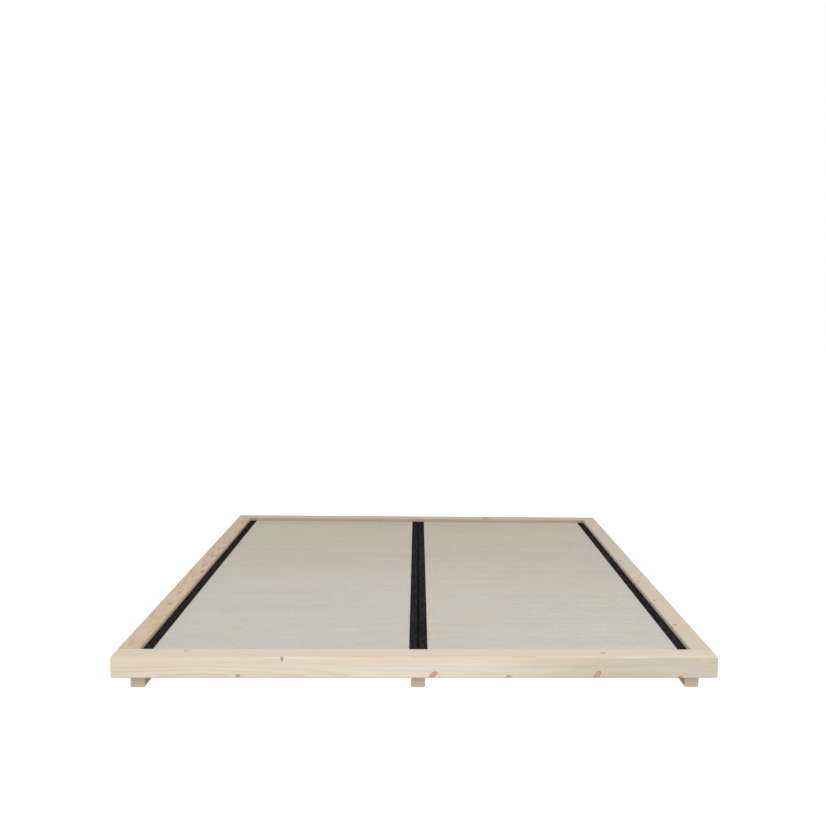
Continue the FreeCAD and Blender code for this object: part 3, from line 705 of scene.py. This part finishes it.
def make_cover(side, seed):
    """The woven rush face: ribs run the mat's length, and its ends turn down over the core."""
    node = f"{side}_mat_cover"
    low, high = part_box(node)
    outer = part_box(f"{side}_mat_outer_border")
    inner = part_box(f"{side}_mat_inner_border")
    left, right = (outer, inner) if side == "left" else (inner, outer)
    first, last = left[1].x, right[0].x
    pitch = (last - first) / RIBS
    between = [((low.x + first) / 2, 0.0), (first - pitch / 2, 0.0)]
    for rib in range(RIBS):
        between += [(first + (rib + part) * pitch, rise) for part, rise in RIB_PROFILE]
    between += [(last, 0.0), (last + pitch / 2, 0.0), ((last + high.x) / 2, 0.0)]
    crown = high.z + COVER_CROWN
    path = over_the_end(low.y, high.y, low.z + COVER_HEM, crown, COVER_CORNER, ROW)
    vertices = []
    for y, z, out_y, out_z in path:
        # the ends that hang down reach the mat's sides
        tuck = COVER_TUCK * out_z
        columns = [(low.x + tuck, 0.0), *between, (high.x - tuck, 0.0)]
        for x, rise in columns:
            rib = round((x - first) / pitch - 0.5)
            swell = 1 + RIB_UNEVEN * wave(rib * 0.37, y, seed, 0.09) * rise
            lift = COVER_WAVE * wave(x, y, seed + 3, 0.35)
            sink = RIB_RISE * (1 - rise * swell)
            vertices.append((x, y - out_y * (sink - lift), z - out_z * (sink - lift)))
    width = len(columns)
    faces = []
    for row in range(len(path) - 1):
        for column in range(width - 1):
            a = row * width + column
            faces.append((a, a + 1, a + width + 1, a + width))
    material = rush(f"rush_{side}", first, pitch)
    piece = new_piece(f"{side}_mat_rush_cover", vertices, faces, material, f"{side}_mat")
    if piece.data.polygons[len(faces) // 2].normal.z < 0:
        piece.data.flip_normals()
    thick = piece.modifiers.new("thickness", "SOLIDIFY")
    thick.thickness = COVER_THICK
    thick.offset = -1
    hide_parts(node)


def border_section(width, r):
    """The tape's upper skin as (across, up), from its inner edge over the top and round the fold.

    across is 0 at the mat's side and the tape's width at its inner edge; up is 0 at its top and
    negative below. width is the tape's width on top, and r the fold's radius.
    """
    t = BORDER_THICK
    top = [(width, -0.62 * t), (width - 0.35 * t, -0.16 * t), (width - 1.2 * t, 0.0),
           (width - 4 * t, -0.18 * t), (width * 0.66, -0.3 * t), (width * 0.33, -0.25 * t)]
    for i in range(CORNER_STEPS + 1):
        a = math.pi / 2 * i / CORNER_STEPS
        top.append((r - r * math.sin(a), r * math.cos(a) - r - 0.2 * t * math.cos(a)))
    return top


def make_border(side, place, seed):
    """Black cloth tape folded along the mat's long edge and down its side."""
    node = f"{side}_mat_{place}_border"
    low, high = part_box(node)
    at_left = (side == "left") == (place == "outer")
    outside, direction = (low.x, 1.0) if at_left else (high.x, -1.0)
    tape = high.x - low.x
    fold = OUTER_FOLD if place == "outer" else INNER_FOLD
    bulge = OUTER_BULGE if place == "outer" else 0.0
    skin = border_section(tape, fold)
    down = high.z - low.z
    for share in (0.3, 0.65, 1.0):
        skin.append((0.0, -fold - (down - fold) * share))
    t = 0.8 * BORDER_THICK
    lining = [(t, skin[-1][1]), (t, -down * 0.5), (t, -fold), (fold * 0.3 + t, -fold * 0.5 - t * 0.6),
              (fold * 0.8 + t, -1.5 * t),
              (tape * 0.4, -1.25 * t), (tape - 3 * t, -1.25 * t), (tape - 0.4 * t, -1.15 * t)]
    loop = skin + lining
    vertices = []
    for row in range(BORDER_ROWS + 1):
        y = low.y + (high.y - low.y) * row / BORDER_ROWS
        near_end = min(y - low.y, high.y - y)
        drop = END_DROP * max(0.0, 1 - near_end / COVER_CORNER) ** 2
        stitch = STITCH_PULL * (1 + math.cos(2 * math.pi * y / STITCH_PITCH)) / 2
        for across, up in loop:
            inward = across / tape
            sway = 0.45 * MM * wave(0.0, y, seed, 0.4) + 0.12 * MM * wave(3.0, y, seed, 0.06)
            shift = inward * sway
            ripple = 0.16 * MM * wave(across * 9, y, seed + 2, 0.07) * (up > -2 * MM)
            cut = END_CUT * max(0.0, 1 - near_end / END_CUT) ** 2 * (1 - inward) ** 2
            cut *= max(0.0, 1 + up / CUT_DEPTH)
            pull = stitch * (0.6 < inward < 0.95) * (up > -0.5 * MM)
            low_end = drop * (up > -5 * MM)
            swollen = bulge * max(0.0, 1 - inward * 3) * (1 - min(1.0, -up / down) ** 2)
            swollen *= min(1.0, near_end / BULGE_RUN)
            vertices.append((outside + direction * (across + shift + cut - swollen), y,
                             high.z + up + ripple - pull - low_end + BORDER_LIFT))
    count = len(loop)
    faces = []
    for row in range(BORDER_ROWS):
        for i in range(count):
            a, b = row * count + i, row * count + (i + 1) % count
            faces.append((a, b, b + count, a + count))
    faces.append(tuple(range(count)))
    faces.append(tuple(range(BORDER_ROWS * count, (BORDER_ROWS + 1) * count)))
    piece = new_piece(f"{side}_mat_{place}_cloth_border", vertices, faces, MATERIALS["border"],
                      f"{side}_mat")
    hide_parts(node)


def make_backing(side, seed):
    """The woven cloth under the core, laid on the slats."""
    node = f"{side}_mat_backing"
    low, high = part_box(node)
    middle = (low.z + high.z) / 2
    vertices = []
    for row in range(BACKING_ROWS + 1):
        for column in range(BACKING_COLUMNS + 1):
            x = low.x + (high.x - low.x) * column / BACKING_COLUMNS
            y = low.y + (high.y - low.y) * row / BACKING_ROWS
            vertices.append((x, y, middle + BACKING_WAVE * wave(x, y, seed, 0.12)))
    width = BACKING_COLUMNS + 1
    faces = [(r * width + c, r * width + c + 1, (r + 1) * width + c + 1, (r + 1) * width + c)
             for r in range(BACKING_ROWS) for c in range(BACKING_COLUMNS)]
    piece = new_piece(f"{side}_mat_backing_cloth", vertices, faces, MATERIALS["backing"], f"{side}_mat")
    thick = piece.modifiers.new("thickness", "SOLIDIFY")
    thick.thickness = BACKING_THICK
    thick.offset = 0
    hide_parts(node)


MATERIALS = {
    "border": cloth("black_border_cloth", light=(0.021, 0.0206, 0.0212), dark=(0.0033, 0.0033, 0.0035),
                    thread=0.55, fuzz=0.0, specular=0.03, creases=1.7, seam_shade_and_far_dark=0.95),
    "backing": cloth("mat_backing_weave", light=(0.5, 0.47, 0.4), dark=(0.34, 0.31, 0.25),
                     thread=1.4, fuzz=0.05, specular=0.2, creases=0.2),
    "straw": straw("rice_straw_board"),
}


def make_mats():
    for seed, side in enumerate(("left", "right"), 1):
        make_cover(side, seed * 10)
        for number, place in enumerate(("outer", "inner")):
            make_border(side, place, seed * 20 + number)
        make_backing(side, seed * 30)
        paint(f"{side}_mat_core", MATERIALS["straw"])


# ---------------------------------------------------------------- studio

FLOOR_HALF = 14.0
FLOOR_TONES = ((0.32, 0.32, 0.32), (0.30, 0.30, 0.30))
SKY_STRENGTH = 1.0
KEY_WATTS = 60
SIDE_WATTS = 50  # each of the low lights that reach the rails' inner sides
FLOOR_GLOW = 0.9  # the floor is a lit white table
FLOOR_DROP = 0.3 * MM  # keeps the floor clear of the bearers' undersides


def make_studio():
    g = Graph("studio_floor")
    mottle = g.noise(g.vector("SCALE", g.place, scale=3), 1, 3, 0.5)
    colour = g.mix(mottle, *FLOOR_TONES)
    material = g.finish(colour, 0.9, Specular_IOR_Level=0.0, Emission_Color=(1, 1, 1),
                        Emission_Strength=FLOOR_GLOW)
    corners = [(-FLOOR_HALF, -FLOOR_HALF, -FLOOR_DROP), (FLOOR_HALF, -FLOOR_HALF, -FLOOR_DROP),
               (FLOOR_HALF, FLOOR_HALF, -FLOOR_DROP), (-FLOOR_HALF, FLOOR_HALF, -FLOOR_DROP)]
    mesh = bpy.data.meshes.new("studio_floor")
    mesh.from_pydata(corners, [], [(0, 1, 2, 3)])
    mesh.materials.append(material)
    floor = bpy.data.objects.new("studio_floor", mesh)
    bpy.context.scene.collection.objects.link(floor)

    world = bpy.data.worlds.new("studio_world")
    world.use_nodes = True
    background = world.node_tree.nodes["Background"]
    background.inputs["Color"].default_value = (1.0, 1.0, 1.0, 1.0)
    background.inputs["Strength"].default_value = SKY_STRENGTH
    bpy.context.scene.world = world

    def area(name, place, aim, width, depth, watts):
        data = bpy.data.lights.new(name, "AREA")
        data.shape = "RECTANGLE"
        data.size = width
        data.size_y = depth
        data.energy = watts
        light = bpy.data.objects.new(name, data)
        light.location = place
        light.rotation_euler = (Vector(aim) - Vector(place)).to_track_quat("-Z", "Y").to_euler()
        bpy.context.scene.collection.objects.link(light)

    area("key_softbox", (0.6, -3.6, 2.4), (0.2, -0.9, 0.0), 3.0, 1.6, KEY_WATTS)
    area("left_softbox", (-6.0, 0.0, 1.3), (0.0, 0.0, 0.1), 3.0, 1.2, SIDE_WATTS)
    area("right_softbox", (6.0, 0.0, 1.3), (0.0, 0.0, 0.1), 3.0, 1.2, SIDE_WATTS)
    view = bpy.context.scene.view_settings
    view.view_transform = "Standard"
    view.look = "None"


make_camera()
dress_frame()
make_mats()
make_studio()
